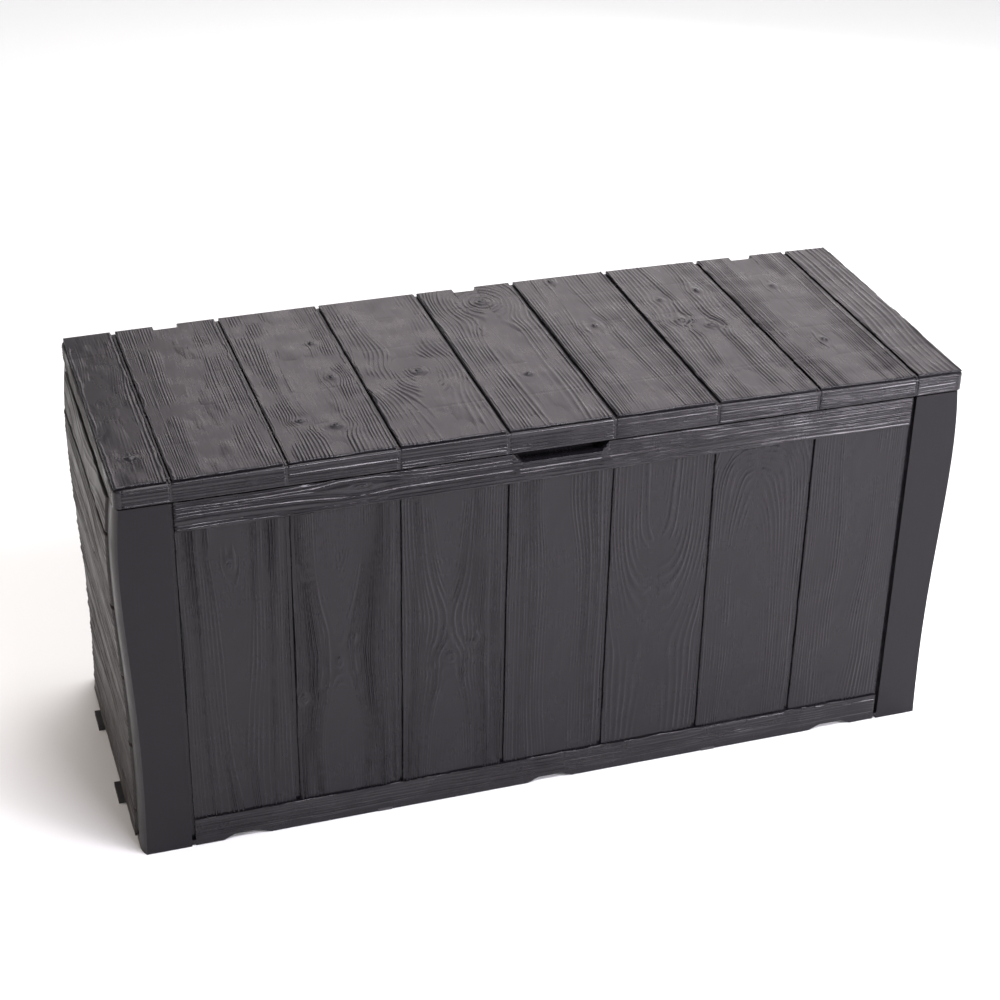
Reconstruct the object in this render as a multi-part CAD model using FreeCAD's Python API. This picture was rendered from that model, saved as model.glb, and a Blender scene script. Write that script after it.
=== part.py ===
import FreeCAD, Part
import math
import os

V = FreeCAD.Vector

# A resin deck storage box: four corner posts, four wall panels, a floor and a hinged lid.
# Millimetres. X runs along the box, the front faces -Y, Z is up, the ground is Z = 0.

# ---- driving sizes ----
LID_HALF_WIDTH = 575.0
LID_HALF_DEPTH = 218.0
LID_EDGE_TOP = 563.0          # top of the boards at the two ends of the lid
LID_CROWN = 4.0               # how much higher the middle of the lid is
SKIRT_BOTTOM = 535.0
BODY_TOP = 532.0
BODY_HALF_DEPTH = 216.0
WALL = 3.0                    # every panel is a moulding of this thickness
BOARD_PITCH = 144.2           # width of one imitation board, lid, front and back alike
BOARD_COUNT = 7
GROOVE_WIDTH = 7.0
BEAD_WIDTH = 14.0             # the wall steps inward behind each groove
POST_EDGE = 508.0             # inner edge of each corner post, measured from the middle

# half width of the body at five heights: foot, waist, middle, belly, top
SIDE_CURVE = [(0.0, 578.0), (147.0, 575.0), (285.0, 579.0), (422.0, 584.0), (BODY_TOP, 578.0)]

# ---- front and back panels ----
RAIL_FACE = BODY_HALF_DEPTH
BOARD_FACE = RAIL_FACE - 3.0
PANEL_HALF_WIDTH = 502.5
PANEL_BOTTOM = 1.0
FLANGE_BOTTOM = 8.0
TOP_RAIL_BOTTOM = 490.0
BOTTOM_RAIL_TOP = 43.0
TONGUE_REACH = 522.0          # how far the panel's end tongues go into the posts
TONGUE_BOTTOM = 5.0
SILL_TOP = 10.0               # the joint beside each post is closed below this
FLANGE_DEPTH = 16.0
CUTOUT_PITCH = 3 * BOARD_PITCH
CUTOUT_TOP = 8.0
CUTOUT_HALF_BOTTOM = 35.0
CUTOUT_HALF_TOP = 17.0

# ---- finger pocket under the lid's front edge ----
POCKET_HALF_TOP = 66.0
POCKET_HALF_BOTTOM = 55.0
POCKET_HEIGHT = 13.0
POCKET_DEPTH = 18.0
POCKET_CORNER = 6.0

# ---- side panels ----
SIDE_HALF_DEPTH = 176.0
SIDE_BOTTOM = 4.0
SIDE_GROOVE_FIRST = 47.0
SIDE_GROOVE_PITCH = 108.2
SIDE_GROOVE_COUNT = 5
SIDE_GROOVE_WIDTH = 6.0

# ---- floor ----
FLOOR_TOP = 17.0
FLOOR_HALF_WIDTH = 563.0
FLOOR_HALF_DEPTH = 203.0
RIB = 3.0
SIDE_TABS_Y = (100.0, -76.0)
SIDE_TAB_REACH = 587.0
SIDE_TAB_LENGTH = 40.0
FRONT_TAB_X = 240.0
FRONT_TAB_HALF = 10.0
FRONT_TAB_NOSE = 4.5         # height of the tab where it shows in the panel's lower edge

# ---- hinges ----
HINGE_X = {"left": -3 * BOARD_PITCH, "centre": 0.0, "right": 3 * BOARD_PITCH}
AXIS_Y = 210.0
AXIS_Z = 551.0
PIN_RADIUS = 3.0
PIN_CLEARANCE = 0.05
BARREL_RADIUS = 4.8
NOTCH_HALF_WIDTH = 17.0
NOTCH_FRONT = 204.5
HEEL_BACK = 192.6             # the lid's back skirt meets the heels a little past 100 degrees
HEEL_TOP = 550.0
SCREW_RADIUS = 2.0
SCREW_HEAD_RADIUS = 4.0
SCREW_HEAD_HEIGHT = 2.4
FIXED_SCREW_X = 33.0
FIXED_SCREW_Y = 206.5
LID_SCREW_X = 28.0
LID_SCREW_Y = 184.0


# ---- small helpers ----
def box(x0, x1, y0, y1, z0, z1):
    return Part.makeBox(x1 - x0, y1 - y0, z1 - z0, V(x0, y0, z0))


def fuse(shapes):
    return shapes[0].multiFuse(shapes[1:]).removeSplitter()


def cut(shape, tools):
    return shape.cut(Part.makeCompound(tools))


def mirror_x(shape):
    return shape.mirror(V(0, 0, 0), V(1, 0, 0))


def mirror_y(shape):
    return shape.mirror(V(0, 0, 0), V(0, 1, 0))


def rod_x(x0, x1, y, z, radius):
    return Part.makeCylinder(radius, x1 - x0, V(x0, y, z), V(1, 0, 0))


def rod_z(x, y, z0, z1, radius):
    return Part.makeCylinder(radius, z1 - z0, V(x, y, z0), V(0, 0, 1))


def prism_y(points, y0, y1):
    """A solid with a straight-sided outline in X and Z, running from y0 to y1."""
    corners = [V(x, y0, z) for x, z in points]
    face = Part.Face(Part.makePolygon(corners + corners[:1]))
    return face.extrude(V(0, y1 - y0, 0))


def groove_positions():
    """The middle of every groove between two boards."""
    first = -BOARD_COUNT / 2.0 * BOARD_PITCH
    return [first + BOARD_PITCH * number for number in range(BOARD_COUNT + 1)]


def board_grooves(y0, y1, z0, z1, width):
    return [box(x - width / 2, x + width / 2, y0, y1, z0, z1) for x in groove_positions()]


# ---- curved sides ----
def curved_column(outline):
    """Loft of an outline that is drawn for the body's half width at each height."""
    sections = [outline(half_width, height) for height, half_width in SIDE_CURVE]
    return Part.makeLoft(sections, True, False)


def curved_bar(inner, outer, y0, y1, z0=0.0, z1=BODY_TOP):
    """A strip that follows the right side's curve, inner and outer measured from it."""
    def outline(half_width, height):
        corners = [
            V(half_width + inner, y0, height),
            V(half_width + outer, y0, height),
            V(half_width + outer, y1, height),
            V(half_width + inner, y1, height),
        ]
        return Part.makePolygon(corners + corners[:1])
    column = curved_column(outline)
    if z0 > 0.0 or z1 < BODY_TOP:
        column = column.common(box(400, 700, y0 - 1, y1 + 1, z0, z1))
    return column


# ---- corner posts ----
POST_SIDE_STEP = 3.0          # the side boards stand this far proud of the post
POST_SIDE_EDGE = 177.5
CORNER_START = 197.0
CORNER_INSET = 6.0


def corner_line(side_x, front_y, start_y):
    """The rounded outer corner of a post: along the side, round, and onto the front."""
    run = front_y - start_y
    radius = (run ** 2 + CORNER_INSET ** 2) / (2 * CORNER_INSET)
    half_turn = math.asin(run / radius) / 2
    side_start = V(side_x, POST_SIDE_EDGE, 0)
    bend_start = V(side_x, start_y, 0)
    bend_middle = V(side_x - radius * (1 - math.cos(half_turn)), start_y + radius * math.sin(half_turn), 0)
    bend_end = V(side_x - CORNER_INSET, front_y, 0)
    return side_start, bend_start, bend_middle, bend_end


def post_skin_outline(half_width, height):
    side = half_width - POST_SIDE_STEP
    outer = corner_line(side, BODY_HALF_DEPTH, CORNER_START)
    inner = corner_line(side - WALL, BODY_HALF_DEPTH - WALL, CORNER_START - 1.0)
    front_edge = V(POST_EDGE, BODY_HALF_DEPTH, 0)
    lip_outer = V(POST_EDGE, BODY_HALF_DEPTH - 2 * WALL, 0)
    lip_inner = V(POST_EDGE + WALL, BODY_HALF_DEPTH - 2 * WALL, 0)
    lip_root = V(POST_EDGE + WALL, BODY_HALF_DEPTH - WALL, 0)
    edges = [
        Part.makeLine(outer[0], outer[1]),
        Part.Arc(outer[1], outer[2], outer[3]).toShape(),
        Part.makeLine(outer[3], front_edge),
        Part.makeLine(front_edge, lip_outer),
        Part.makeLine(lip_outer, lip_inner),
        Part.makeLine(lip_inner, lip_root),
        Part.makeLine(lip_root, inner[3]),
        Part.Arc(inner[3], inner[2], inner[1]).toShape(),
        Part.makeLine(inner[1], inner[0]),
        Part.makeLine(inner[0], outer[0]),
    ]
    wire = Part.Wire(edges)
    wire.translate(V(0, 0, height))
    return wire


def post_fill_outline(half_width, height):
    """An L that fills the post, kept 1 mm inside its skin."""
    side = half_width - POST_SIDE_STEP - 1.0
    front = BODY_HALF_DEPTH - 1.0
    outer = corner_line(side, front, CORNER_START - 0.5)
    lap = 11.0
    corners = [
        outer[3],
        V(POST_EDGE + 1.0, front, 0),
        V(POST_EDGE + 1.0, front - lap, 0),
        V(side - lap, front - lap, 0),
        V(side - lap, POST_SIDE_EDGE + 1.0, 0),
        V(side, POST_SIDE_EDGE + 1.0, 0),
        outer[1],
    ]
    lines = [Part.makeLine(a, b) for a, b in zip(corners, corners[1:])]
    wire = Part.Wire(lines + [Part.Arc(outer[1], outer[2], outer[3]).toShape()])
    wire.translate(V(0, 0, height))
    return wire


def corner_post():
    """The back right post: a thin L with a slot down each leg for the panels' tongues."""
    skin = curved_column(post_skin_outline)
    filled = curved_column(post_fill_outline)
    foot = filled.common(box(400, 700, 100, 300, 0, 4))
    cap = filled.common(box(400, 700, 100, 300, BODY_TOP - WALL, BODY_TOP))
    lip_front = BODY_HALF_DEPTH - 3 * WALL - 0.4
    lip = box(POST_EDGE, TONGUE_REACH + 5, lip_front - WALL, lip_front, 0, BODY_TOP)
    web = box(TONGUE_REACH + 2, TONGUE_REACH + 5, lip_front - WALL, BOARD_FACE + 0.5, 0, BODY_TOP)
    post = fuse([skin, foot, cap, lip, web])
    snap_window = box(540, 600, POST_SIDE_EDGE - 1, POST_SIDE_EDGE + 12, 12, 20)
    return post.cut(snap_window)


# ---- front and back panels, drawn facing +Y ----
def bottom_cutouts():
    cutouts = []
    for x in (-CUTOUT_PITCH, 0.0, CUTOUT_PITCH):
        outline = [
            (x - CUTOUT_HALF_BOTTOM, 0),
            (x + CUTOUT_HALF_BOTTOM, 0),
            (x + CUTOUT_HALF_TOP, CUTOUT_TOP),
            (x - CUTOUT_HALF_TOP, CUTOUT_TOP),
        ]
        cutouts.append(prism_y(outline, BODY_HALF_DEPTH - 8, BODY_HALF_DEPTH + 1))
    return cutouts


def wall_panel():
    """Seven recessed boards between two rails, with flanges inside and tongues at the ends."""
    sheet_back = BOARD_FACE - WALL
    width = PANEL_HALF_WIDTH
    flange_back = BOARD_FACE - FLANGE_DEPTH
    sheet_bottom = BOTTOM_RAIL_TOP - 4
    sheet_top = TOP_RAIL_BOTTOM + 4
    parts = [
        box(-width, width, sheet_back, BOARD_FACE, sheet_bottom, sheet_top),
        box(-width, width, BOARD_FACE, RAIL_FACE, TOP_RAIL_BOTTOM, BODY_TOP),
        box(-width, width, BOARD_FACE, RAIL_FACE, PANEL_BOTTOM, BOTTOM_RAIL_TOP),
        box(-width, width, flange_back, BOARD_FACE, BODY_TOP - WALL, BODY_TOP),
        box(-width, width, flange_back, BOARD_FACE, FLANGE_BOTTOM, FLANGE_BOTTOM + WALL),
    ]
    tongue_top = BODY_TOP - WALL - 0.5
    for side in (-1, 1):
        root = sorted((side * (width - WALL), side * width))
        reach = sorted((side * (width - WALL), side * TONGUE_REACH))
        sill = sorted((side * width, side * (POST_EDGE - 0.2)))
        tongue_y = sheet_back - WALL
        parts.append(box(root[0], root[1], tongue_y, BOARD_FACE, TONGUE_BOTTOM, tongue_top))
        parts.append(box(reach[0], reach[1], tongue_y, sheet_back, TONGUE_BOTTOM, tongue_top))
        parts.append(box(sill[0], sill[1], tongue_y, RAIL_FACE, TONGUE_BOTTOM, SILL_TOP))
    grooves = []
    for x in groove_positions()[1:-1]:
        bead = (x - BEAD_WIDTH / 2, x + BEAD_WIDTH / 2)
        groove = (x - GROOVE_WIDTH / 2, x + GROOVE_WIDTH / 2)
        parts.append(box(bead[0], bead[1], sheet_back - WALL, sheet_back, sheet_bottom, sheet_top))
        grooves.append(box(groove[0], groove[1], sheet_back, BOARD_FACE + 1,
                           BOTTOM_RAIL_TOP, TOP_RAIL_BOTTOM))
    tab_notches = [box(x - FRONT_TAB_HALF - 0.5, x + FRONT_TAB_HALF + 0.5, sheet_back, RAIL_FACE + 1,
                       0, FRONT_TAB_NOSE + 0.5) for x in (-FRONT_TAB_X, FRONT_TAB_X)]
    return cut(fuse(parts), grooves + bottom_cutouts() + tab_notches)


def finger_pocket_space():
    """The space that fingers reach into: wider at the top, with rounded lower corners."""
    top = BODY_TOP + 1
    bottom = BODY_TOP - POCKET_HEIGHT
    outline = [
        (-POCKET_HALF_BOTTOM, bottom),
        (POCKET_HALF_BOTTOM, bottom),
        (POCKET_HALF_TOP, top),
        (-POCKET_HALF_TOP, top),
    ]
    space = prism_y(outline, BODY_HALF_DEPTH - POCKET_DEPTH, BODY_HALF_DEPTH + 1)
    lower_edges = [
        edge for edge in space.Edges
        if abs(edge.BoundBox.ZMax - bottom) < 0.01 and edge.BoundBox.YLength > 10
    ]
    return space.makeFillet(POCKET_CORNER, lower_edges)


def front_panel():
    panel = wall_panel()
    half = POCKET_HALF_TOP + 2 * WALL
    back = BODY_HALF_DEPTH - POCKET_DEPTH - WALL
    liner = box(-half, half, back, RAIL_FACE, BODY_TOP - POCKET_HEIGHT - WALL, BODY_TOP)
    panel = fuse([panel, liner]).cut(finger_pocket_space())
    return mirror_y(panel)


def fixed_screw_places():
    return [(x + side * FIXED_SCREW_X, FIXED_SCREW_Y) for x in HINGE_X.values() for side in (-1, 1)]


def rear_panel():
    """The back wall, with slots in its top flange that the three hinge lugs stand in."""
    lug_slots = [box(x - 14, x + 14, AXIS_Y - 5, BOARD_FACE, BODY_TOP - WALL - 1, BODY_TOP + 1)
                 for x in HINGE_X.values()]
    screw_holes = [rod_z(x, y, BODY_TOP - WALL - 1, BODY_TOP + 1, SCREW_RADIUS + 0.05)
                   for x, y in fixed_screw_places()]
    return cut(wall_panel(), lug_slots + screw_holes)


# ---- side panels ----
def side_panel():
    """The right wall: six horizontal boards that follow the side's curve."""
    edge = SIDE_HALF_DEPTH
    tongue_end = POST_SIDE_EDGE + 14
    tongue_top = BODY_TOP - WALL - 0.5
    parts = [
        curved_bar(-WALL, 0, -edge, edge, SIDE_BOTTOM, BODY_TOP),
        curved_bar(-18, -2.5, -edge, edge, BODY_TOP - WALL, BODY_TOP),
        curved_bar(-22, -2.5, -edge, edge, FLANGE_BOTTOM, FLANGE_BOTTOM + WALL),
    ]
    for side in (-1, 1):
        root = sorted((side * (edge - 6), side * (edge - 3)))
        reach = sorted((side * (edge - 6), side * tongue_end))
        parts.append(curved_bar(-9, -2.5, root[0], root[1], SIDE_BOTTOM, tongue_top))
        parts.append(curved_bar(-9, -6, reach[0], reach[1], TONGUE_BOTTOM, tongue_top))
    grooves = []
    for number in range(SIDE_GROOVE_COUNT):
        height = SIDE_GROOVE_FIRST + number * SIDE_GROOVE_PITCH
        bead = (height - BEAD_WIDTH / 2, height + BEAD_WIDTH / 2)
        groove = (height - SIDE_GROOVE_WIDTH / 2, height + SIDE_GROOVE_WIDTH / 2)
        parts.append(curved_bar(-6, -2.9, -edge + 3, edge - 3, bead[0], bead[1]))
        grooves.append(curved_bar(-3.2, 2, -edge - 1, edge + 1, groove[0], groove[1]))
    notch_half = SIDE_TAB_LENGTH / 2 + 1
    tab_notches = [box(560, 600, y - notch_half, y + notch_half, SIDE_BOTTOM - 1, FLANGE_BOTTOM)
                   for y in SIDE_TABS_Y]
    return cut(fuse(parts), grooves + tab_notches)


# ---- floor ----
def floor_panel():
    """A plate on ribs. Hooked tabs reach under the walls' bottom flanges and through them."""
    half_x = FLOOR_HALF_WIDTH
    half_y = FLOOR_HALF_DEPTH
    plate_bottom = FLOOR_TOP - WALL
    flange_top = FLANGE_BOTTOM + WALL
    rib_x = half_x - 10.0
    rib_y = BOARD_FACE - FLANGE_DEPTH - 2.0
    tab_half = SIDE_TAB_LENGTH / 2
    parts = [box(-half_x, half_x, -half_y, half_y, plate_bottom, FLOOR_TOP)]
    for x in groove_positions():
        parts.append(box(x - RIB / 2, x + RIB / 2, -rib_y, rib_y, 0, plate_bottom))
    for y in (-rib_y + RIB / 2, -65.0, 65.0, rib_y - RIB / 2):
        parts.append(box(-rib_x, rib_x, y - RIB / 2, y + RIB / 2, 0, plate_bottom))
    for side in (-1, 1):
        end = sorted((side * (rib_x - RIB), side * rib_x))
        rim_x = sorted((side * (half_x - RIB), side * half_x))
        rim_y = sorted((side * (half_y - RIB), side * half_y))
        side_tab = sorted((side * (rib_x - RIB), side * SIDE_TAB_REACH))
        hook = sorted((side * (rib_y - RIB), side * (BOARD_FACE - 1)))
        nose = sorted((side * (rib_y - RIB), side * BODY_HALF_DEPTH))
        parts.append(box(end[0], end[1], -rib_y, rib_y, 0, plate_bottom))
        parts.append(box(rim_x[0], rim_x[1], -SIDE_HALF_DEPTH + 7, SIDE_HALF_DEPTH - 7,
                         flange_top, plate_bottom))
        parts.append(box(-PANEL_HALF_WIDTH, PANEL_HALF_WIDTH, rim_y[0], rim_y[1],
                         flange_top, plate_bottom))
        for y in SIDE_TABS_Y:
            parts.append(box(side_tab[0], side_tab[1], y - tab_half, y + tab_half, 0, FLANGE_BOTTOM))
        for x in (-FRONT_TAB_X, FRONT_TAB_X):
            left = x - FRONT_TAB_HALF
            right = x + FRONT_TAB_HALF
            parts.append(box(left, right, hook[0], hook[1], 0, FLANGE_BOTTOM))
            parts.append(box(left, right, nose[0], nose[1], 0, FRONT_TAB_NOSE))
    return fuse(parts)


# ---- lid ----
def crowned_slab(half_x, y0, y1, bottom, edge_top):
    """A slab whose top rises by the lid's crown in the middle of its length."""
    drop = LID_CROWN * (1 - (half_x / LID_HALF_WIDTH) ** 2)
    left_top = V(-half_x, y0, edge_top + drop)
    right_top = V(half_x, y0, edge_top + drop)
    left_bottom = V(-half_x, y0, bottom)
    right_bottom = V(half_x, y0, bottom)
    edges = [
        Part.makeLine(left_bottom, right_bottom),
        Part.makeLine(right_bottom, right_top),
        Part.Arc(right_top, V(0, y0, edge_top + LID_CROWN), left_top).toShape(),
        Part.makeLine(left_top, left_bottom),
    ]
    return Part.Face(Part.Wire(edges)).extrude(V(0, y1 - y0, 0))


BOARD_RISE = 4.0              # the boards stand this far above the lid's rim
BOARD_SETBACK = 5.0
RIB_LINES_Y = (-128.0, -36.0, 56.0, 148.0)
LID_RIB_BOTTOM = 546.0
REST_RIB_X = 562.0
REST_RIB_Y = 204.0
REST_RIB_START = 75.0         # the front resting rib leaves the finger pocket clear
BOSS_BOTTOM = 556.0


def lid_shell():
    rim_top = LID_EDGE_TOP - BOARD_RISE
    depth = LID_HALF_DEPTH
    block = crowned_slab(LID_HALF_WIDTH, -depth, depth, SKIRT_BOTTOM, rim_top)
    upright = [edge for edge in block.Edges if edge.BoundBox.ZLength > 10 and edge.BoundBox.XLength < 0.01]
    block = block.makeFillet(9.0, upright)
    rim = [edge for edge in block.Edges if edge.BoundBox.ZMin > rim_top - 1]
    block = block.makeFillet(2.5, rim)
    board_x = LID_HALF_WIDTH - 3.0
    boards = crowned_slab(board_x, -depth + BOARD_SETBACK, depth - 2.0, rim_top - 4, LID_EDGE_TOP)
    boards = cut(boards, board_grooves(-300, 300, rim_top - 5, LID_EDGE_TOP + 10, GROOVE_WIDTH))
    return fuse([block, boards])


def lid_hollow():
    """The space under the lid: up into the boards, with a bead left below every groove."""
    depth = LID_HALF_DEPTH - WALL
    low_top = LID_EDGE_TOP - BOARD_RISE - WALL
    low = crowned_slab(LID_HALF_WIDTH - WALL, -depth, depth, SKIRT_BOTTOM - 1, low_top)
    high_x = LID_HALF_WIDTH - 2 * WALL - 2
    high = crowned_slab(high_x, -depth + BOARD_SETBACK, depth - 2.0, SKIRT_BOTTOM - 1, LID_EDGE_TOP - WALL)
    high = cut(high, board_grooves(-300, 300, SKIRT_BOTTOM - 2, LID_EDGE_TOP + 10, BEAD_WIDTH))
    return fuse([low, high])


def lid_under_parts():
    """Ribs, resting ribs, notch linings and hinge bosses, all cut to the shell's inside."""
    depth = LID_HALF_DEPTH - WALL
    half_x = LID_HALF_WIDTH - WALL
    top = LID_EDGE_TOP
    rest_end = REST_RIB_X + WALL
    rest_front = -REST_RIB_Y - WALL
    parts = []
    for x in groove_positions():
        parts.append(box(x - 1, x + 1, -depth, depth - 8, LID_RIB_BOTTOM, top))
    for y in RIB_LINES_Y:
        parts.append(box(-half_x, half_x, y - 1, y + 1, LID_RIB_BOTTOM, top))
    for side in (-1, 1):
        across = sorted((side * REST_RIB_X, side * rest_end))
        along = sorted((side * REST_RIB_START, side * rest_end))
        parts.append(box(across[0], across[1], rest_front, 190, BODY_TOP, top))
        parts.append(box(along[0], along[1], rest_front, -REST_RIB_Y, BODY_TOP, top))
    for x in HINGE_X.values():
        lining = NOTCH_HALF_WIDTH + WALL
        parts.append(box(x - lining, x + lining, NOTCH_FRONT - WALL, LID_HALF_DEPTH - 1, SKIRT_BOTTOM, top))
        parts.append(box(x - 40, x + 40, 176, NOTCH_FRONT - 1, BOSS_BOTTOM, top))
    inside = crowned_slab(LID_HALF_WIDTH - 1, -LID_HALF_DEPTH + 1, LID_HALF_DEPTH - 1,
                          BODY_TOP - 1, top - WALL + 1)
    return fuse(parts).common(inside)


def lid_screw_places():
    return [(x + side * LID_SCREW_X, LID_SCREW_Y) for x in HINGE_X.values() for side in (-1, 1)]


def lid():
    body = fuse([lid_shell().cut(lid_hollow()), lid_under_parts()])
    tools = board_grooves(-LID_HALF_DEPTH + BOARD_SETBACK, LID_HALF_DEPTH - 2,
                          LID_EDGE_TOP + 1, LID_EDGE_TOP + 10, GROOVE_WIDTH)
    for x in HINGE_X.values():
        tools.append(box(x - NOTCH_HALF_WIDTH, x + NOTCH_HALF_WIDTH, NOTCH_FRONT, 230, 530, 580))
        tools.append(rod_x(x - 25, x + 25, AXIS_Y, AXIS_Z, PIN_RADIUS + PIN_CLEARANCE))
    for x, y in lid_screw_places():
        tools.append(rod_z(x, y, BOSS_BOTTOM - 1, BOSS_BOTTOM + 4, SCREW_RADIUS + 0.05))
    return cut(body, tools)


# ---- hinges ----
def fixed_bracket(x):
    """Screwed under the back wall's top flange: a lug for the pin and two heels that stop the lid."""
    top = BODY_TOP - WALL
    bottom = top - WALL
    back = BOARD_FACE - 0.5
    parts = [
        box(x - 58, x + 58, 184, back, bottom, top),
        box(x - 13, x + 13, 206, back, bottom, AXIS_Z),
        rod_x(x - 13, x + 13, AXIS_Y, AXIS_Z, BARREL_RADIUS),
    ]
    for heel_x in (x - 50, x + 50):
        parts.append(box(heel_x - 6, heel_x + 6, 186, HEEL_BACK, bottom, HEEL_TOP))
    holes = [rod_x(x - 14, x + 14, AXIS_Y, AXIS_Z, PIN_RADIUS + PIN_CLEARANCE)]
    for screw_x in (x - FIXED_SCREW_X, x + FIXED_SCREW_X):
        holes.append(rod_z(screw_x, FIXED_SCREW_Y, bottom - 1, top + 1, SCREW_RADIUS + 0.05))
    return cut(fuse(parts), holes)


def lid_bracket(x):
    """Screwed under the lid: two knuckles that carry the pin on each side of the notch."""
    bottom = BOSS_BOTTOM - WALL
    parts = [box(x - 38, x + 38, 177, NOTCH_FRONT - WALL - 0.5, bottom, BOSS_BOTTOM)]
    for side in (-1, 1):
        ends = sorted((x + side * 20.3, x + side * 36.0))
        parts.append(box(ends[0], ends[1], 197, AXIS_Y, AXIS_Z, BOSS_BOTTOM - 0.2))
        parts.append(rod_x(ends[0], ends[1], AXIS_Y, AXIS_Z, BARREL_RADIUS))
    holes = [rod_x(x - 40, x + 40, AXIS_Y, AXIS_Z, PIN_RADIUS + 0.02)]
    for screw_x in (x - LID_SCREW_X, x + LID_SCREW_X):
        holes.append(rod_z(screw_x, LID_SCREW_Y, bottom - 1, BOSS_BOTTOM + 1, SCREW_RADIUS + 0.05))
    return cut(fuse(parts), holes)


def hinge_pin(x):
    pin = rod_x(x - 38, x + 38, AXIS_Y, AXIS_Z, PIN_RADIUS)
    rims = [edge for edge in pin.Edges if edge.BoundBox.XLength < 0.01]
    return pin.makeChamfer(0.6, rims)


def screw(x, y, seat, length):
    """A pan head screw driven upward: its head hangs below the seat."""
    shank = rod_z(x, y, seat, seat + length, SCREW_RADIUS)
    head = rod_z(x, y, seat - SCREW_HEAD_HEIGHT, seat, SCREW_HEAD_RADIUS)
    lower_rim = [edge for edge in head.Edges if edge.BoundBox.ZMax < seat - SCREW_HEAD_HEIGHT + 0.01]
    head = head.makeFillet(1.2, lower_rim)
    slot_a = box(x - 2.2, x + 2.2, y - 0.5, y + 0.5, seat - 3, seat - 1.2)
    slot_b = box(x - 0.5, x + 0.5, y - 2.2, y + 2.2, seat - 3, seat - 1.2)
    return cut(fuse([head, shank]), [slot_a, slot_b])


def save(name, shape):
    shape.exportStep("parts/" + name + ".step")


os.makedirs("parts", exist_ok=True)

save("front_panel", front_panel())
save("rear_panel", rear_panel())
right_wall = side_panel()
save("right_side_panel", right_wall)
save("left_side_panel", mirror_x(right_wall))
post = corner_post()
save("rear_right_post", post)
save("rear_left_post", mirror_x(post))
save("front_right_post", mirror_y(post))
save("front_left_post", mirror_x(mirror_y(post)))
save("floor_panel", floor_panel())
save("lid", lid())
for place, hinge_x in HINGE_X.items():
    save("hinge_base_" + place, fixed_bracket(hinge_x))
    save("hinge_arm_" + place, lid_bracket(hinge_x))
    save("hinge_pin_" + place, hinge_pin(hinge_x))
base_seat = BODY_TOP - 2 * WALL
arm_seat = BOSS_BOTTOM - WALL
base_screws = [screw(x, y, base_seat, 6) for x, y in fixed_screw_places()]
arm_screws = [screw(x, y, arm_seat, 7) for x, y in lid_screw_places()]
save("hinge_base_screws", Part.makeCompound(base_screws))
save("hinge_arm_screws", Part.makeCompound(arm_screws))
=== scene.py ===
import math

import bpy
import numpy as np
from mathutils import Matrix, Vector


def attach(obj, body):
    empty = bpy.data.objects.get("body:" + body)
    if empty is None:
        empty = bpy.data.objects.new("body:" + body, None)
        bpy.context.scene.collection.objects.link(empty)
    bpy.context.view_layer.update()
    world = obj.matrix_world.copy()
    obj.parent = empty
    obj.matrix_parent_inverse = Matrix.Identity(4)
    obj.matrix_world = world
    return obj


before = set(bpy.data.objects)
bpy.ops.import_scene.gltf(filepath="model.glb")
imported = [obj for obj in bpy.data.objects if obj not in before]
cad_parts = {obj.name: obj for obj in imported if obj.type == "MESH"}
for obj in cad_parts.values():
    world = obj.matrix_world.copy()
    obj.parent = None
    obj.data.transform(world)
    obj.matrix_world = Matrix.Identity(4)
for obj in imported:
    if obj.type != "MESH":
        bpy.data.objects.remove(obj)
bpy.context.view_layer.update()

# Everything below is in millimetres until it becomes a mesh.
MM = 0.001

# ---- sizes shared with the solids ----
BOARD_PITCH = 144.2
BOARD_COUNT = 7
LID_HALF_WIDTH = 575.0
LID_HALF_DEPTH = 218.0
LID_EDGE_TOP = 563.0
LID_CROWN = 4.0
LID_CORNER = 9.0
RIM_TOP = 559.0
RIM_ROUND = 2.5
SKIRT_BOTTOM = 535.0
NOTCH_HALF_WIDTH = 17.0
NOTCH_FRONT = 204.5
LID_BOARD_BACK = 215.8
HINGE_PITCH = 3 * BOARD_PITCH
BOARD_FACE = 213.0
RAIL_FACE = 216.0
PANEL_HALF_WIDTH = 502.5
BODY_TOP = 532.0
TOP_RAIL_BOTTOM = 490.0
BOTTOM_RAIL_TOP = 43.0
SILL_TOP = 10.0
POCKET_HALF_BOTTOM = 55.0
POCKET_HALF_TOP = 66.0
POCKET_HEIGHT = 13.0
POCKET_CORNER = 6.0
SIDE_HALF_DEPTH = 176.0
SIDE_BOTTOM = 4.0
SIDE_CURVE = [(0.0, 578.0), (147.0, 575.0), (285.0, 579.0), (422.0, 584.0), (532.0, 578.0)]
SIDE_GROOVE_FIRST = 47.0
SIDE_GROOVE_PITCH = 108.2
SIDE_GROOVE_COUNT = 5
RIB_LINES = (-128.0, -36.0, 56.0, 148.0)

GROOVE = 5.8                  # visible width of the joints between imitation boards
SKIRT_GROOVE = 2.4
SIDE_GROOVE = 5.0
LID_OVERHANG = 1.5            # how far the lid's boards reach past the front boards' face
END_STRIP = 2.6               # rim left clear at the two ends of the lid
REACH_FRONT = 7.6             # how far the front skirt goes in over the rim
REACH_OTHER = 2.6
RUN_OUT_START = 0.5           # the side boards bend down from this far before the panel's edge ...
RUN_OUT_END = 3.8             # ... to this far past it, where they meet the posts
RUN_OUT_DEPTH = 3.3
LIP_INSET = 2.8               # the raised line along a board's long edges
LIP_WIDTH = 1.3


# ---- smooth repeatable noise ----
def lattice(i, j, seed):
    """A fixed pseudo-random number between -1 and 1 for each whole-number point."""
    mixed = np.sin(i * 127.1 + j * 311.7 + seed * 74.7) * 43758.5453
    return 2.0 * (mixed - np.floor(mixed)) - 1.0


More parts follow.
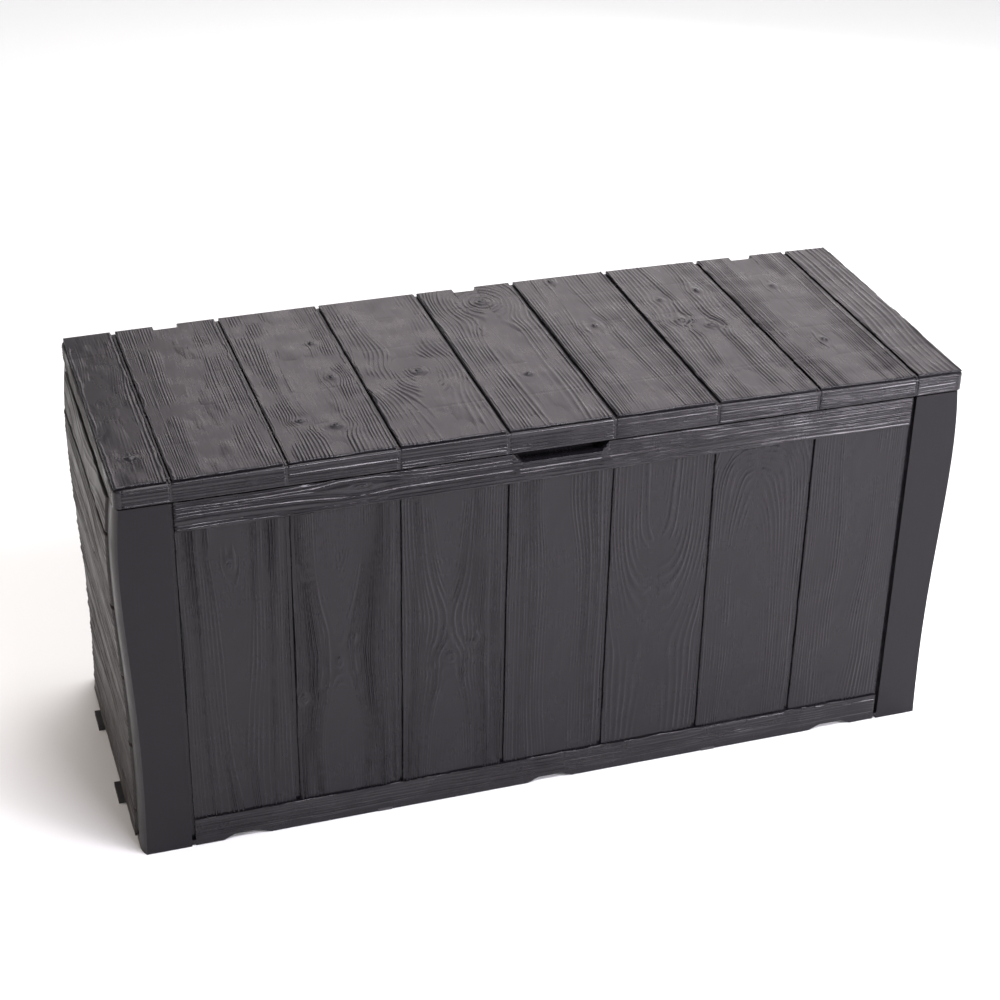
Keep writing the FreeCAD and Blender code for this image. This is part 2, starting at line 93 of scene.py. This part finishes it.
def noise(x, y, seed):
    """Smooth noise between -1 and 1 whose features are about one unit wide."""
    i = np.floor(x)
    j = np.floor(y)
    fx = x - i
    fy = y - j
    fx = fx * fx * fx * (fx * (6 * fx - 15) + 10)
    fy = fy * fy * fy * (fy * (6 * fy - 15) + 10)
    low = lattice(i, j, seed) * (1 - fx) + lattice(i + 1, j, seed) * fx
    high = lattice(i, j + 1, seed) * (1 - fx) + lattice(i + 1, j + 1, seed) * fx
    return low * (1 - fy) + high * fy


def smooth_step(value, start, end):
    t = np.clip((value - start) / (end - start), 0.0, 1.0)
    return t * t * (3 - 2 * t)


# ---- how a board was sawn ----
def steady(size):
    """The same everywhere along the board."""
    return lambda along: size + 0 * along


def through(*stops):
    """Passes smoothly through (place, size) stops along the board."""
    places = [place for place, size in stops]
    sizes = [size for place, size in stops]

    def profile(along):
        near = 0 * along
        for shift in (-18.0, -9.0, 0.0, 9.0, 18.0):
            near = near + np.interp(along + shift, places, sizes) / 5
        return near
    return profile


def dip(place, length, size, least=2.0):
    """Large everywhere but near one place, which draws closed ovals around it."""
    return lambda along: least + (size - least) * (1 - np.exp(-(((along - place) / length) ** 2)))


def knot(across, along, radius, spread=3.0, stretch=1.3):
    """radius is the eye's, spread how many radii it bends the lines over, stretch its length
    over its width."""
    return {"across": across, "along": along, "radius": radius, "spread": spread, "stretch": stretch}


def board_grain(seed, middle, knots=(), opening=steady(22.0), heart=steady(6.0), relief=0.8,
                spacing=4.1, sway=7.0):
    """One board's figure. opening is half the width of its smooth middle, heart is how far
    below the face the log's heart runs: where it rises or falls, the lines close into arches."""
    return {
        "seed": seed,
        "middle": middle,
        "knots": knots,
        "opening": opening,
        "heart": heart,
        "relief": relief,
        "spacing": spacing,
        "sway": sway,
    }


def grain_height(across, along, board):
    """Height in mm of the moulded grain at points given in mm across and along the board."""
    seed = board["seed"]
    u = across
    eye = 0 * across
    eye_rings = 0 * across
    lively = 0 * across
    bulge = 0 * across
    for k in board["knots"]:
        du = across - k["across"]
        dv = (along - k["along"]) / k["stretch"]
        distance = np.sqrt(du * du + dv * dv) * (1 + 0.16 * noise(du / 9.0, dv / 9.0, seed + 13))
        reach = k["radius"] * k["spread"]
        u = u - (u - k["across"]) * 0.92 * np.exp(-((distance / reach) ** 2))
        lively = np.maximum(lively, np.exp(-((distance / (1.35 * reach)) ** 4)))
        bulge = np.maximum(bulge, np.exp(-((distance / (1.6 * k["radius"])) ** 2)))
        weight = 1.0 - smooth_step(distance, k["radius"] * 0.8, k["radius"] * 1.3)
        eye_rings = np.where(weight > eye, distance / k["radius"], eye_rings)
        eye = np.maximum(eye, weight)
    heart = board["heart"](along)
    opening = board["opening"](along)
    offset = u - board["middle"]
    drift = board["sway"] * noise(along / 160.0, along * 0, seed + 3)
    offset = offset - drift * np.exp(-((offset / 45.0) ** 2))
    ring = np.sqrt(offset * offset + heart * heart)
    ring = ring + (22.0 - opening) * np.exp(-((offset / 38.0) ** 2))
    ring = ring + 1.5 * noise(offset / 34.0, along / 150.0, seed)
    ring = ring + 0.5 * noise(offset / 8.0, along / 90.0, seed + 1)
    ring = ring + 1.7 * noise(ring / 9.0, along / 400.0, seed + 2)
    turn = 2 * math.pi * ring / board["spacing"]
    wave = (0.5 + 0.5 * np.cos(turn)) ** 1.5
    bold = 0.72 + 0.5 * noise(ring / 6.5, along / 260.0, seed + 4)
    opened = smooth_step(np.abs(offset), 0.5 * opening, 1.15 * opening + 2.0)
    strength = np.maximum(opened, 0.85 * lively)
    height = board["relief"] * wave * bold * (0.12 + 0.88 * strength)
    eye_wave = 0.5 + 0.5 * np.cos(2 * math.pi * eye_rings * 1.15)
    height = height * (1 - eye) + eye * (1.3 - 1.1 * eye_wave)
    height = height + 1.2 * bulge
    height = height + 0.55 * noise(across / 26.0, along / 40.0, seed + 8)
    height = height + 0.25 * noise(across / 11.0, along / 22.0, seed + 7)
    return height + 0.05 * noise(across / 1.7, along / 16.0, seed + 9)


# ---- closed slabs with a relief on one face ----
def add_mesh(name, points, faces, material, body):
    mesh = bpy.data.meshes.new(name)
    mesh.from_pydata(points, [], faces)
    mesh.update()
    mesh.shade_smooth()
    piece = bpy.data.objects.new(name, mesh)
    bpy.context.collection.objects.link(piece)
    mesh.materials.append(material)
    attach(piece, body)


def relief_slab(name, place, columns, rows, relief, depth, material, body, edge_round=0.8, lip=0.0):
    """A slab over a grid. place turns s and t, both 0 to 1, into points of the base face, their
    outward normals, and the across and along that relief needs for the height above it. depth is
    how far the slab goes down from the base face, lip the height of the line along its edges."""
    s, t = np.meshgrid(np.linspace(0, 1, columns), np.linspace(0, 1, rows))
    base, normal, across, along = place(s, t)
    width = np.linalg.norm(base[0, -1] - base[0, 0])
    length = np.linalg.norm(base[-1, 0] - base[0, 0])
    from_side = np.minimum(s, 1 - s) * width
    edge = np.minimum(from_side, np.minimum(t, 1 - t) * length)
    rounding = edge_round * (1 - smooth_step(edge, -0.6, 2.0)) ** 2
    rolled = lip * np.exp(-(((from_side - LIP_INSET) / LIP_WIDTH) ** 2))
    top = base + normal * (relief(across, along) + rolled - rounding)[..., None]
    low = base - normal * depth
    count = rows * columns
    index = np.arange(count).reshape(rows, columns)
    front = count + np.arange(columns)
    back = front + columns
    quads = np.stack([index[:-1, :-1], index[:-1, 1:], index[1:, 1:], index[1:, :-1]], -1)
    faces = quads.reshape(-1, 4).tolist()
    faces += np.stack([index[0, 1:], index[0, :-1], front[:-1], front[1:]], -1).tolist()
    faces += np.stack([index[-1, :-1], index[-1, 1:], back[1:], back[:-1]], -1).tolist()
    faces += np.stack([front[1:], front[:-1], back[:-1], back[1:]], -1).tolist()
    faces.append(index[:, 0].tolist() + [int(back[0]), int(front[0])])
    faces.append(index[::-1, -1].tolist() + [int(front[-1]), int(back[-1])])
    cloud = np.concatenate([top.reshape(-1, 3), low[0], low[-1]]) * MM
    add_mesh(name, cloud.tolist(), faces, material, body)


def ragged(along, seed, size=0.7):
    """The wandering of a board's edge, in mm."""
    return size * (noise(along / 23.0, along * 0, seed) + 0.45 * noise(along / 6.0, along * 0, seed + 1))


def facing(base, direction):
    return np.broadcast_to(np.array(direction, float), base.shape)


def groove_positions():
    first = -BOARD_COUNT / 2 * BOARD_PITCH
    return [first + BOARD_PITCH * number for number in range(BOARD_COUNT + 1)]


def crown(x):
    return LID_CROWN * (1 - (x / LID_HALF_WIDTH) ** 2)


# ---- the boards of the lid, numbered from the left ----
def lid_grain(number, middle):
    if number == 0:
        knots = [knot(-541, -146, 5, 2.6, 0.45)]
        return board_grain(11, middle - 4, knots, steady(26.0), relief=0.4, spacing=3.4)
    if number == 1:
        return board_grain(18, middle, opening=steady(31.0), relief=0.5, spacing=3.8)
    if number == 2:
        knots = [knot(-252, 101, 4, 2.4, 1.0), knot(-250, -6, 5, 3.4, 1.5), knot(-277, -139, 6, 3.2, 0.8),
                 knot(-318, -113, 5, 3.0, 0.7)]
        opening = through((-160, 12), (-60, 30), (200, 26))
        return board_grain(25, middle + 6, knots, opening, relief=0.65)
    if number == 3:
        knots = [knot(-134, -20, 8, 2.2, 0.8)]
        opening = through((-200, 10), (-90, 16), (-20, 2), (40, 22), (120, 40))
        return board_grain(32, middle + 8, knots, opening, dip(-22, 46, 40), relief=0.72, spacing=4.6)
    if number == 4:
        knots = [knot(13, 163, 10, 2.2, 0.9), knot(4, -69, 4.5, 2.6, 0.9)]
        opening = through((-200, 22), (60, 26), (110, 8), (163, 3))
        return board_grain(39, middle + 10, knots, opening, dip(163, 42, 34), relief=0.8, spacing=4.6)
    if number == 5:
        knots = [knot(140, 46, 5, 3.0, 1.3), knot(129, 203, 5, 2.6, 1.2)]
        opening = through((-200, 30), (0, 22), (200, 14))
        return board_grain(46, middle - 4, knots, opening, relief=1.1, spacing=4.4)
    if number == 6:
        knots = [knot(260, 101, 5, 2.6, 1.0), knot(264, 31, 8, 2.6, 0.8), knot(299, 5, 9, 2.6, 0.9),
                 knot(323, 119, 4, 3.6, 1.6)]
        opening = through((-200, 20), (-60, 14), (60, 6), (200, 12))
        return board_grain(53, middle, knots, opening, relief=1.15)
    if number == 7:
        knots = [knot(437, 105, 4, 3.0, 1.3), knot(432, -78, 4.5, 3.0, 1.3)]
        return board_grain(60, middle, knots, steady(30.0), relief=1.15, spacing=4.4)
    return board_grain(67, middle - 8, opening=steady(5.0), relief=1.3, spacing=5.0)


def back_edge(x):
    """Where the boards end at the back: cut away in front of each hinge."""
    from_hinge = np.abs((x + HINGE_PITCH / 2) % HINGE_PITCH - HINGE_PITCH / 2)
    return np.where(from_hinge < NOTCH_HALF_WIDTH + 0.2, NOTCH_FRONT - 0.4, LID_BOARD_BACK)


def lid_board(number, x0, x1, material):
    grain = lid_grain(number, (x0 + x1) / 2)
    front = -BOARD_FACE - LID_OVERHANG
    seed = grain["seed"]

    def place(s, t):
        along = front + (LID_BOARD_BACK - front) * t
        left = x0 + ragged(along, seed + 20, 0.95)
        right = x1 + ragged(along, seed + 30, 0.95)
        x = left + (right - left) * s
        y = front + (back_edge(x) - front) * t + (1 - t) ** 8 * ragged(x, seed + 40, 0.8)
        base = np.stack([x, y, LID_EDGE_TOP + crown(x)], -1)
        return base, facing(base, (0, 0, 1)), x, y

    def relief(x, y):
        height = grain_height(x, y, grain)
        for line in RIB_LINES:
            height = height - 0.16 * np.exp(-(((y - line) / 2.2) ** 2))
        return height

    columns = max(24, int((x1 - x0) / 0.75))
    rows = int((LID_BOARD_BACK - front) / 1.6)
    relief_slab("lid_board_%d" % number, place, columns, rows, relief, 1.6, material, "lid",
                1.1, 0.45)


def lid_boards(material):
    edges = [-LID_HALF_WIDTH + END_STRIP] + groove_positions() + [LID_HALF_WIDTH - END_STRIP]
    for number in range(BOARD_COUNT + 2):
        x0 = edges[number] + (GROOVE / 2 if number > 0 else 0)
        x1 = edges[number + 1] - (GROOVE / 2 if number <= BOARD_COUNT else 0)
        lid_board(number, x0, x1, material)


# ---- the skirt of the lid: strips that go up the face and over the rounded rim ----
def skirt_strip(name, outward, u0, u1, reach, relief_size, material):
    """outward is the side it faces. u runs to the left as seen from outside."""
    seed = 200 + int(u0) % 97
    grain = board_grain(seed, -200.0, (), steady(2.0), relief=relief_size, spacing=4.3, sway=2.0)
    bottom = SKIRT_BOTTOM + 0.3
    out_x, out_y = outward
    half = LID_HALF_WIDTH if out_x else LID_HALF_DEPTH

    def place(s, t):
        u = u0 + (u1 - u0) * t
        crown_here = 0 * u if out_x else crown(u)
        straight = RIM_TOP + crown_here - RIM_ROUND - bottom
        path = s * (straight + reach)
        turn = np.clip((path - straight) / RIM_ROUND, 0, math.pi / 2)
        inward = np.maximum(path - straight - RIM_ROUND * math.pi / 2, 0)
        face = half - RIM_ROUND * (1 - np.cos(turn)) - inward
        z = bottom + np.minimum(path, straight) + RIM_ROUND * np.sin(turn)
        base = np.stack([out_x * face + out_y * u, out_y * face - out_x * u, z], -1)
        normal = np.stack([out_x * np.cos(turn), out_y * np.cos(turn), np.sin(turn)], -1)
        return base, normal, path, u

    def relief(path, u):
        over_rim = smooth_step(path, 21.0, 25.0)
        return grain_height(path, u, grain) * (1 - 0.7 * over_rim) + 0.15

    rows = max(8, int((u1 - u0) / 1.8))
    relief_slab(name, place, 46, rows, relief, 1.2, material, "lid", 0.7)


def lid_skirts(material, end_material):
    edges = [-LID_HALF_WIDTH + LID_CORNER] + groove_positions() + [LID_HALF_WIDTH - LID_CORNER]
    half = SKIRT_GROOVE / 2
    for number in range(BOARD_COUNT + 2):
        x0 = edges[number] + half
        x1 = edges[number + 1] - half
        skirt_strip("front_skirt_%d" % number, (0, -1), -x1, -x0, REACH_FRONT, 1.7, material)
        ends = [x0]
        for notch in (-HINGE_PITCH, 0.0, HINGE_PITCH):
            if x0 < notch < x1:
                ends += [notch - NOTCH_HALF_WIDTH - 1, notch + NOTCH_HALF_WIDTH + 1]
        ends.append(x1)
        for part in range(0, len(ends), 2):
            name = "rear_skirt_%d_%d" % (number, part // 2)
            skirt_strip(name, (0, 1), ends[part], ends[part + 1], REACH_OTHER, 1.5, material)
    for side, label in ((-1, "left"), (1, "right")):
        end = LID_HALF_DEPTH - LID_CORNER
        skirt_strip(label + "_skirt", (side, 0), -end, end, REACH_OTHER, 0.7, end_material)


# ---- the boards and rails of the front and back ----
def wall_grain(number, middle):
    if number == 0:
        return board_grain(101, middle, [knot(-437, 430, 5, 2.8, 1.6)],
                           through((90, 6), (300, 16), (480, 28)), relief=2.1)
    if number == 1:
        knots = [knot(-299, 257, 8, 2.4, 1.7), knot(-346, 206, 6, 2.2, 1.0)]
        opening = through((60, 30), (130, 34), (200, 18), (258, 3), (330, 16), (430, 42), (490, 44))
        return board_grain(106, -296, knots, opening, relief=2.1, sway=3.0)
    if number == 2:
        knots = [knot(-147, 236, 10, 2.2, 1.3), knot(-113, 255, 5, 2.2, 1.0)]
        opening = through((60, 32), (140, 26), (215, 8), (303, 1), (380, 16), (480, 30))
        return board_grain(111, -150, knots, opening, relief=1.8, sway=3.0)
    if number == 3:
        opening = through((60, 18), (260, 24), (480, 22))
        return board_grain(116, middle + 4, opening=opening, relief=1.35, sway=14.0)
    if number == 4:
        heart = through((60, 58), (200, 56), (310, 30), (400, 5), (490, 3))
        opening = through((60, 24), (200, 14), (300, 4), (480, 10))
        return board_grain(121, 143, [], opening, heart, relief=1.0, sway=3.0, spacing=4.4)
    if number == 5:
        heart = through((60, 4), (360, 5), (450, 18), (490, 44))
        opening = through((60, 30), (300, 22), (420, 8), (490, 4))
        return board_grain(126, 286, [], opening, heart, relief=0.9, sway=5.0, spacing=4.4)
    return board_grain(131, middle, opening=through((60, 12), (480, 26)), relief=0.75, sway=9.0)


def wall_board(name, side, number, x0, x1, material):
    grain = wall_grain(number, (x0 + x1) / 2)
    low = BOTTOM_RAIL_TOP - 1.0
    high = TOP_RAIL_BOTTOM + 1.0
    seed = grain["seed"]

    def place(s, t):
        z = low + (high - low) * t
        left = x0 + ragged(z, seed + 20, 0.4)
        right = x1 + ragged(z, seed + 30, 0.4)
        across = left + (right - left) * s
        base = np.stack([across * -side, 0 * z + side * BOARD_FACE, z], -1)
        return base, facing(base, (0, side, 0)), across, z

    pitch = 0.8 if side < 0 else 1.0
    columns = int((x1 - x0) / pitch)
    rows = int((high - low) / (pitch * 2.3))
    relief_slab(name, place, columns, rows, lambda x, z: grain_height(x, z, grain), 2.9, material,
                "box", 1.0)


def wall_boards(side, label, material):
    edges = groove_positions()
    edges[0] = -PANEL_HALF_WIDTH - GROOVE / 2
    edges[-1] = PANEL_HALF_WIDTH + GROOVE / 2
    for number in range(BOARD_COUNT):
        x0 = edges[number] + GROOVE / 2
        x1 = edges[number + 1] - GROOVE / 2
        wall_board("%s_board_%d" % (label, number), side, number, x0, x1, material)


def pocket_edge(x):
    """Height of the finger pocket's lower edge at each x, or the top of the wall beside it."""
    bottom = BODY_TOP - POCKET_HEIGHT - 0.3
    lean = math.atan2(POCKET_HEIGHT, POCKET_HALF_TOP - POCKET_HALF_BOTTOM)
    tangent = POCKET_CORNER * math.tan(lean / 2)
    out = np.abs(x) - (POCKET_HALF_BOTTOM - tangent)
    arc = POCKET_CORNER - np.sqrt(np.maximum(POCKET_CORNER ** 2 - np.clip(out, 0, POCKET_CORNER) ** 2, 0))
    ramp = (out - tangent) * math.tan(lean)
    rise = np.where(out < tangent * (1 + math.cos(lean)), arc, ramp)
    return np.minimum(bottom + rise, BODY_TOP)


def rail(name, side, bottom, top, grain, material):
    """A horizontal rail. bottom and top give its edges at each x."""
    def place(s, t):
        across = PANEL_HALF_WIDTH * (2 * s - 1)
        low = bottom(across)
        z = low + (top(across) - low) * t
        base = np.stack([across * -side, 0 * z + side * RAIL_FACE, z], -1)
        return base, facing(base, (0, side, 0)), z, across

    relief_slab(name, place, 640, 58, lambda z, x: grain_height(z, x, grain) + 0.1, 2.9, material,
                "box", 1.1)


def rails(side, label, material):
    top_grain = board_grain(301, 300.0, [knot(519, -267, 4, 3.4, 3.6)], steady(2.0), relief=1.7, spacing=5.2)
    low_grain = board_grain(311, 300.0, opening=steady(2.0), relief=1.1, spacing=4.6)
    upper = pocket_edge if side < 0 else steady(BODY_TOP)

    def under_edge(x):
        return TOP_RAIL_BOTTOM + ragged(x, 61, 0.7)

    def upper_edge(x):
        return BOTTOM_RAIL_TOP + ragged(x, 71, 0.8)

    rail(label + "_top_rail", side, under_edge, upper, top_grain, material)
    rail(label + "_bottom_rail", side, steady(SILL_TOP + 0.6), upper_edge, low_grain, material)


# ---- the horizontal boards of the two sides ----
def side_profile():
    """Half width of the body at each height: the smooth curve through SIDE_CURVE."""
    heights = [height for height, half_width in SIDE_CURVE]
    half_widths = [half_width for height, half_width in SIDE_CURVE]
    return np.polynomial.Polynomial.fit(heights, half_widths, len(SIDE_CURVE) - 1)


def side_board(name, side, number, z0, z1, profile, material):
    slope = profile.deriv()
    run_out_end = SIDE_HALF_DEPTH + RUN_OUT_END
    seed = 401 + 9 * number + side
    grain = board_grain(seed, (z0 + z1) / 2, opening=steady(9.0), relief=2.0, spacing=6.2, sway=16.0)

    def place(s, t):
        y = run_out_end * (2 * t - 1)
        low = z0 + ragged(y, number + 80, 0.5)
        high = z1 + ragged(y, number + 90, 0.5)
        z = low + (high - low) * s
        lean = slope(z)
        run_out = RUN_OUT_DEPTH * smooth_step(np.abs(y), SIDE_HALF_DEPTH - RUN_OUT_START, run_out_end)
        base = np.stack([side * (profile(z) - run_out), -side * y, z], -1)
        long_side = np.sqrt(1 + lean * lean)
        normal = np.stack([side / long_side, 0 * z, -lean / long_side], -1)
        return base, normal, z, y

    def relief(z, y):
        fade = smooth_step(np.abs(y), SIDE_HALF_DEPTH - 9.0, SIDE_HALF_DEPTH + 2.0)
        return grain_height(z, y, grain) * (1 - 0.9 * fade)

    columns = max(20, int((z1 - z0) / 0.9))
    relief_slab(name, place, columns, 180, relief, 2.4, material, "box", 1.0)


def side_boards(side, label, material):
    profile = side_profile()
    grooves = [SIDE_GROOVE_FIRST + SIDE_GROOVE_PITCH * number for number in range(SIDE_GROOVE_COUNT)]
    lows = [SIDE_BOTTOM + 5.0] + [groove + SIDE_GROOVE / 2 for groove in grooves]
    highs = [groove - SIDE_GROOVE / 2 for groove in grooves] + [BODY_TOP]
    for number, (z0, z1) in enumerate(zip(lows, highs)):
        side_board("%s_board_%d" % (label, number), side, number, z0, z1, profile, material)


# ---- materials ----
def noise_node(nodes, links, source, scale, detail, rough=0.5):
    node = nodes.new("ShaderNodeTexNoise")
    node.inputs["Scale"].default_value = scale
    node.inputs["Detail"].default_value = detail
    node.inputs["Roughness"].default_value = rough
    links.new(source, node.inputs["Vector"])
    return node


def bump_node(nodes, links, height, strength, distance, before=None):
    node = nodes.new("ShaderNodeBump")
    node.inputs["Strength"].default_value = strength
    node.inputs["Distance"].default_value = distance
    links.new(height, node.inputs["Height"])
    if before:
        links.new(before.outputs["Normal"], node.inputs["Normal"])
    return node


def resin(name, colour, grain_axis, roughness=0.33, shine=0.35):
    """Moulded satin resin: clouded colour and gloss, fine fibres along the grain, a pebbled skin."""
    material = bpy.data.materials.new(name)
    material.use_nodes = True
    nodes = material.node_tree.nodes
    links = material.node_tree.links
    shader = nodes["Principled BSDF"]
    shader.inputs["Specular Tint"].default_value = (1.0, 0.955, 0.99, 1)
    shader.inputs["Specular IOR Level"].default_value = shine
    place = nodes.new("ShaderNodeTexCoord").outputs["Object"]
    stretched = nodes.new("ShaderNodeMapping")
    scale = [420.0, 420.0, 420.0]
    scale[grain_axis] = 26.0
    stretched.inputs["Scale"].default_value = scale
    links.new(place, stretched.inputs["Vector"])
    fibres = noise_node(nodes, links, stretched.outputs["Vector"], 1.0, 5.0, 0.6)
    clouds = noise_node(nodes, links, place, 26.0, 2.0)
    pebbles = noise_node(nodes, links, place, 900.0, 2.0)

    tint = nodes.new("ShaderNodeMix")
    tint.data_type = "RGBA"
    tint.inputs["A"].default_value = (colour[0] * 0.8, colour[1] * 0.8, colour[2] * 0.8, 1)
    tint.inputs["B"].default_value = (colour[0] * 1.2, colour[1] * 1.2, colour[2] * 1.2, 1)
    links.new(clouds.outputs["Fac"], tint.inputs["Factor"])
    links.new(tint.outputs["Result"], shader.inputs["Base Color"])

    worn = nodes.new("ShaderNodeMath")
    worn.operation = "MULTIPLY_ADD"
    worn.inputs[1].default_value = 1.2
    links.new(clouds.outputs["Fac"], worn.inputs[0])
    links.new(fibres.outputs["Fac"], worn.inputs[2])
    gloss = nodes.new("ShaderNodeMapRange")
    gloss.inputs["From Min"].default_value = 0.8
    gloss.inputs["From Max"].default_value = 1.6
    gloss.inputs["To Min"].default_value = roughness - 0.1
    gloss.inputs["To Max"].default_value = roughness + 0.1
    links.new(worn.outputs["Value"], gloss.inputs["Value"])
    links.new(gloss.outputs["Result"], shader.inputs["Roughness"])

    fibre_bump = bump_node(nodes, links, fibres.outputs["Fac"], 0.25, 0.0004)
    pebble_bump = bump_node(nodes, links, pebbles.outputs["Fac"], 0.2, 0.0002, fibre_bump)
    links.new(pebble_bump.outputs["Normal"], shader.inputs["Normal"])
    return material


def steel():
    material = bpy.data.materials.new("zinc_steel")
    material.use_nodes = True
    nodes = material.node_tree.nodes
    links = material.node_tree.links
    shader = nodes["Principled BSDF"]
    shader.inputs["Base Color"].default_value = (0.62, 0.62, 0.6, 1)
    shader.inputs["Metallic"].default_value = 1.0
    place = nodes.new("ShaderNodeTexCoord").outputs["Object"]
    grain = noise_node(nodes, links, place, 700.0, 3.0)
    spread = nodes.new("ShaderNodeMapRange")
    spread.inputs["To Min"].default_value = 0.25
    spread.inputs["To Max"].default_value = 0.5
    links.new(grain.outputs["Fac"], spread.inputs["Value"])
    links.new(spread.outputs["Result"], shader.inputs["Roughness"])
    return material


# ---- studio ----
def floor():
    """A flat round floor that sweeps up into a low pale wall far away on every side."""
    flat = 6.0
    sweep = 4.0
    rings = 16
    spokes = 64
    points = [(0.0, 0.0, 0.0)]
    for ring in range(rings + 1):
        turn = 0.5 * math.pi * ring / rings
        radius = flat + sweep * math.sin(turn)
        height = sweep * (1 - math.cos(turn))
        for spoke in range(spokes):
            angle = 2 * math.pi * spoke / spokes
            points.append((radius * math.cos(angle), radius * math.sin(angle), height))
    faces = []
    for spoke in range(spokes):
        following = (spoke + 1) % spokes
        faces.append((0, 1 + spoke, 1 + following))
        for ring in range(rings):
            low = 1 + ring * spokes
            faces.append((low + spoke, low + spokes + spoke, low + spokes + following, low + following))
    mesh = bpy.data.meshes.new("floor")
    mesh.from_pydata(points, [], faces)
    mesh.shade_smooth()
    plane = bpy.data.objects.new("floor", mesh)
    bpy.context.collection.objects.link(plane)
    material = bpy.data.materials.new("pale_floor")
    material.use_nodes = True
    shader = material.node_tree.nodes["Principled BSDF"]
    shader.inputs["Base Color"].default_value = (0.97, 0.97, 0.97, 1)
    shader.inputs["Roughness"].default_value = 0.9
    plane.data.materials.append(material)


def area_light(name, place, target, size, power, colour=(1, 1, 1)):
    light = bpy.data.lights.new(name, "AREA")
    light.shape = "RECTANGLE"
    light.size = size[0]
    light.size_y = size[1]
    light.energy = power
    light.color = colour
    lamp = bpy.data.objects.new(name, light)
    bpy.context.collection.objects.link(lamp)
    lamp.location = place
    lamp.rotation_euler = (Vector(target) - Vector(place)).to_track_quat("-Z", "Y").to_euler()


def studio():
    bpy.context.scene.view_settings.view_transform = "Standard"
    world = bpy.data.worlds.new("studio")
    bpy.context.scene.world = world
    world.use_nodes = True
    background = world.node_tree.nodes["Background"]
    background.inputs["Color"].default_value = (1, 1, 1, 1)
    background.inputs["Strength"].default_value = 0.2
    sky = bpy.data.lights.new("soft_sky", "SUN")
    sky.energy = 1.75
    sky.angle = math.radians(40)
    lamp = bpy.data.objects.new("soft_sky", sky)
    bpy.context.collection.objects.link(lamp)
    lamp.rotation_euler = Vector((0.35, 0.25, 1.0)).to_track_quat("Z", "Y").to_euler()
    area_light("back", (1.1, 2.5, 1.95), (0.1, 0, 0.55), (2.6, 1.3), 21.5, (1.0, 0.91, 0.93))
    area_light("back_low", (2.0, 2.6, 0.85), (0.2, 0, 0.55), (1.6, 0.7), 6)
    area_light("left_warm", (-2.2, 0.6, 0.9), (-0.5, 0, 0.3), (0.5, 0.9), 12, (1.0, 0.82, 0.7))
    area_light("right_rake", (4.2, -1.1, 1.7), (0.1, -0.2, 0.4), (0.6, 0.6), 16)
    area_light("front_right", (1.55, -1.9, 1.15), (0.4, -0.2, 0.5), (0.9, 0.5), 46, (0.95, 0.93, 1.0))
    area_light("front_top", (0.55, -1.3, 2.3), (0.1, -0.2, 0.55), (1.7, 0.3), 60, (0.95, 0.93, 1.0))


def camera():
    eye = Vector((-0.84058, -2.46607, 1.84496))
    turn = math.radians(18.62)
    tilt = math.radians(30.11)
    roll = math.radians(1.13)
    ahead = Vector((math.sin(turn) * math.cos(tilt), math.cos(turn) * math.cos(tilt), -math.sin(tilt)))
    right = Vector((math.cos(turn), -math.sin(turn), 0))
    up = right.cross(ahead)
    rolled_right = right * math.cos(roll) + up * math.sin(roll)
    rolled_up = up * math.cos(roll) - right * math.sin(roll)
    rows = [[rolled_right[i], rolled_up[i], -ahead[i], eye[i]] for i in range(3)] + [[0, 0, 0, 1]]
    data = bpy.data.cameras.new("camera")
    data.sensor_width = 36.0
    data.lens = 76.78
    shot = bpy.data.objects.new("camera", data)
    bpy.context.collection.objects.link(shot)
    shot.matrix_world = Matrix(rows)
    bpy.context.scene.camera = shot


# ---- build ----
RESIN = (0.0095, 0.0084, 0.0104)
# The walls, rails and posts are the same plastic as the lid; their darker colour here is painted shade for
# the weaker light that falls on them.
WALL_RESIN_PAINTED_SHADE = (0.0078, 0.0068, 0.0086)
lid_finish = resin("lid_resin", RESIN, 1)
skirt_finish = resin("skirt_resin", RESIN, 0, 0.28)
wall_finish_painted_shade = resin("wall_resin", WALL_RESIN_PAINTED_SHADE, 2, 0.27, 0.27)
rail_finish_painted_shade = resin("rail_resin_painted_shade", WALL_RESIN_PAINTED_SHADE, 0, 0.27, 0.33)
# The sides and the lid's end skirts get a lighter, warmer colour than the rest of the same plastic: painted
# warm light falling from the left.
side_finish_painted_light = resin("side_resin_painted_light", (0.016, 0.0128, 0.0122), 1, 0.5, 0.22)
post_finish_painted_shade = resin("post_resin", WALL_RESIN_PAINTED_SHADE, 2, 0.4, 0.2)
# The floor panel and its tabs are coloured far lighter than the rest of the plastic: painted fill light on
# parts that sit in shade.
floor_finish_painted_light = resin("floor_resin", (0.04, 0.038, 0.04), 0, 0.5)
hinge_finish = resin("hinge_resin", (0.032, 0.032, 0.033), 0, 0.45)
steel_finish = steel()


def finish_of(node):
    if "screws" in node or "pin" in node:
        return steel_finish
    if node.startswith("hinge"):
        return hinge_finish
    if node == "lid":
        return lid_finish
    if "post" in node:
        return post_finish_painted_shade
    if "floor" in node:
        return floor_finish_painted_light
    if "side" in node:
        return side_finish_painted_light
    return wall_finish_painted_shade


for name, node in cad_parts.items():
    node.data.materials.clear()
    node.data.materials.append(finish_of(name))

lid_boards(lid_finish)
lid_skirts(skirt_finish, side_finish_painted_light)
for side, label in ((-1, "front"), (1, "rear")):
    wall_boards(side, label, wall_finish_painted_shade)
    rails(side, label, rail_finish_painted_shade)
for side, label in ((-1, "left"), (1, "right")):
    side_boards(side, label, side_finish_painted_light)
floor()
studio()
camera()
